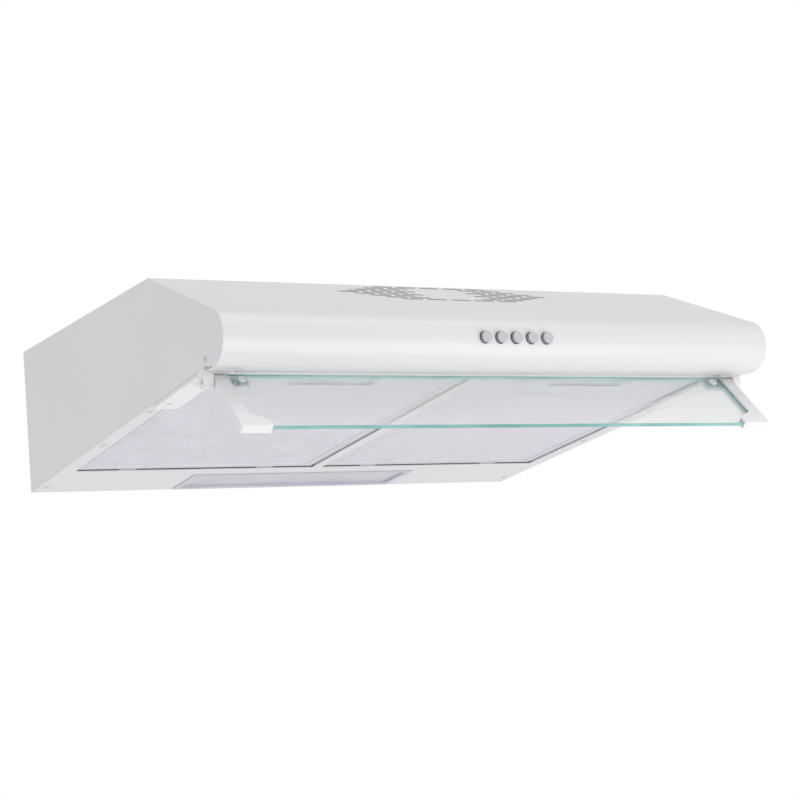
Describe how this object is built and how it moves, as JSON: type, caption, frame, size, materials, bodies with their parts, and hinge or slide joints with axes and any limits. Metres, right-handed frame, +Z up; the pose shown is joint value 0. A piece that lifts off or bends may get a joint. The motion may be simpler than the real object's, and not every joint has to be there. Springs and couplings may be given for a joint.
{
  "type": "under cabinet range hood",
  "caption": "Cabinet-width kitchen extractor hood with a rounded front, push buttons, a fold-out glass visor, drop-down grease filters, a lamp and a top duct outlet.",
  "frame": {"origin": "centre of the four cabinet screw holes, on the top face", "axes": "+Z up into the cabinet, +Y towards the wall, +X to the cook's right; the front faces -Y"},
  "size_m": [0.6, 0.5245, 0.2019],
  "materials": {
    "white_paint": "smooth white powder paint",
    "white_plastic": "fine satin moulded",
    "steel_fastener": "bright zinc plate",
    "visor_glass": "clear float glass, ground edges",
    "filter_metal": "bright rolled aluminium",
    "filter_mesh": "fine expanded mesh",
    "button_plastic": "silver lacquered",
    "dark_plastic": "moulded dark grey",
    "fan_plastic": "moulded light grey",
    "motor_metal": "die cast",
    "carbon": "moulded cassette, black",
    "zinc_sheet": "galvanised",
    "lens_plastic": "frosted translucent",
    "bulb_glass": "opal",
    "black_rubber": "moulded",
    "capacitor_case": "smooth case",
    "white_lead": "smooth sheath"
  },
  "bodies": {
    "casing": {"top_panel": "white_paint", "back_panel": "white_paint", "left_side_panel": "white_paint", "right_side_panel": "white_paint", "front_panel": "white_paint", "base_frame": "white_paint", "base_screws": "white_paint", "panel_screws": "steel_fastener", "left_visor_bracket": "white_plastic", "right_visor_bracket": "white_plastic", "bracket_screws": "white_paint", "left_visor_pin": "steel_fastener", "right_visor_pin": "steel_fastener", "switch_block": "dark_plastic", "switch_bracket": "zinc_sheet", "switch_screws": "steel_fastener", "outlet_duct": "dark_plastic", "outlet_spigot": "dark_plastic", "flap_pin": "steel_fastener", "fan_housing_lower": "dark_plastic", "fan_housing_upper": "dark_plastic", "motor": "motor_metal", "motor_screws": "steel_fastener", "fan_posts": "steel_fastener", "inlet_guard": "dark_plastic", "charcoal_filter": "carbon", "lamp_tray": "zinc_sheet", "lamp_lens": "lens_plastic", "left_lamp_holder": "white_plastic", "right_lamp_holder": "white_plastic", "left_bulb": "bulb_glass", "right_bulb": "bulb_glass", "cable_gland": "black_rubber", "terminal_box": "white_plastic", "terminal_cover": "white_plastic", "capacitor": "capacitor_case", "capacitor_clip": "zinc_sheet", "switch_lead": "white_lead", "motor_lead": "black_rubber", "lamp_lead": "white_lead"},
    "visor": {"visor_glass": "visor_glass", "left_visor_arm": "white_plastic", "right_visor_arm": "white_plastic", "visor_glass_clips": "white_plastic"},
    "left_filter": {"left_filter_frame": "filter_metal", "left_filter_mesh": "filter_mesh"},
    "right_filter": {"right_filter_frame": "filter_metal", "right_filter_mesh": "filter_mesh"},
    "left_latch": {"left_filter_latch": "filter_metal"},
    "right_latch": {"right_filter_latch": "filter_metal"},
    "off_button": {"button_off": "button_plastic"},
    "low_button": {"button_low": "button_plastic"},
    "medium_button": {"button_medium": "button_plastic"},
    "high_button": {"button_high": "button_plastic"},
    "light_button": {"button_light": "button_plastic"},
    "front_flap": {"front_draft_flap": "dark_plastic"},
    "rear_flap": {"rear_draft_flap": "dark_plastic"},
    "shutter": {"air_shutter": "dark_plastic"},
    "fan": {"fan_wheel": "fan_plastic", "motor_shaft": "steel_fastener"}
  },
  "joints": [
    {"name": "visor_hinge", "type": "hinge", "parent": "casing", "child": "visor", "pos_m": [0, -0.27797, -0.11806], "axis": [-1, 0, 0], "range_deg": [-127, 0]},
    {"name": "left_filter_hinge", "type": "hinge", "parent": "casing", "child": "left_filter", "pos_m": [-0.1445, 0.09414, -0.14386], "axis": [1, 0, 0], "range_deg": [0, 75]},
    {"name": "right_filter_hinge", "type": "hinge", "parent": "casing", "child": "right_filter", "pos_m": [0.1445, 0.09414, -0.14386], "axis": [1, 0, 0], "range_deg": [0, 75]},
    {"name": "left_latch_slide", "type": "slide", "parent": "left_filter", "child": "left_latch", "axis": [0, 0.9948, -0.102], "range_m": [0, 0.004], "stiffness_N_per_m": 300},
    {"name": "right_latch_slide", "type": "slide", "parent": "right_filter", "child": "right_latch", "axis": [0, 0.9948, -0.102], "range_m": [0, 0.004], "stiffness_N_per_m": 300},
    {"name": "off_press", "type": "slide", "parent": "casing", "child": "off_button", "axis": [0, 1, 0], "range_m": [0, 0.003], "stiffness_N_per_m": 400},
    {"name": "low_press", "type": "slide", "parent": "casing", "child": "low_button", "axis": [0, 1, 0], "range_m": [0, 0.003], "stiffness_N_per_m": 400},
    {"name": "medium_press", "type": "slide", "parent": "casing", "child": "medium_button", "axis": [0, 1, 0], "range_m": [0, 0.003], "stiffness_N_per_m": 400},
    {"name": "high_press", "type": "slide", "parent": "casing", "child": "high_button", "axis": [0, 1, 0], "range_m": [0, 0.003], "stiffness_N_per_m": 400},
    {"name": "light_press", "type": "slide", "parent": "casing", "child": "light_button", "axis": [0, 1, 0], "range_m": [0, 0.003], "stiffness_N_per_m": 400},
    {"name": "front_flap_hinge", "type": "hinge", "parent": "casing", "child": "front_flap", "pos_m": [0, 0.075, 0.012], "axis": [-1, 0, 0], "range_deg": [0, 75]},
    {"name": "rear_flap_hinge", "type": "hinge", "parent": "casing", "child": "rear_flap", "pos_m": [0, 0.075, 0.012], "axis": [1, 0, 0], "range_deg": [0, 75]},
    {"name": "shutter_slide", "type": "slide", "parent": "casing", "child": "shutter", "axis": [-1, 0, 0], "range_m": [0, 0.014]},
    {"name": "fan_spin", "type": "hinge", "parent": "casing", "child": "fan", "pos_m": [-0.067, -0.072, -0.06], "axis": [0, 0, 1], "continuous": true}
  ]
}
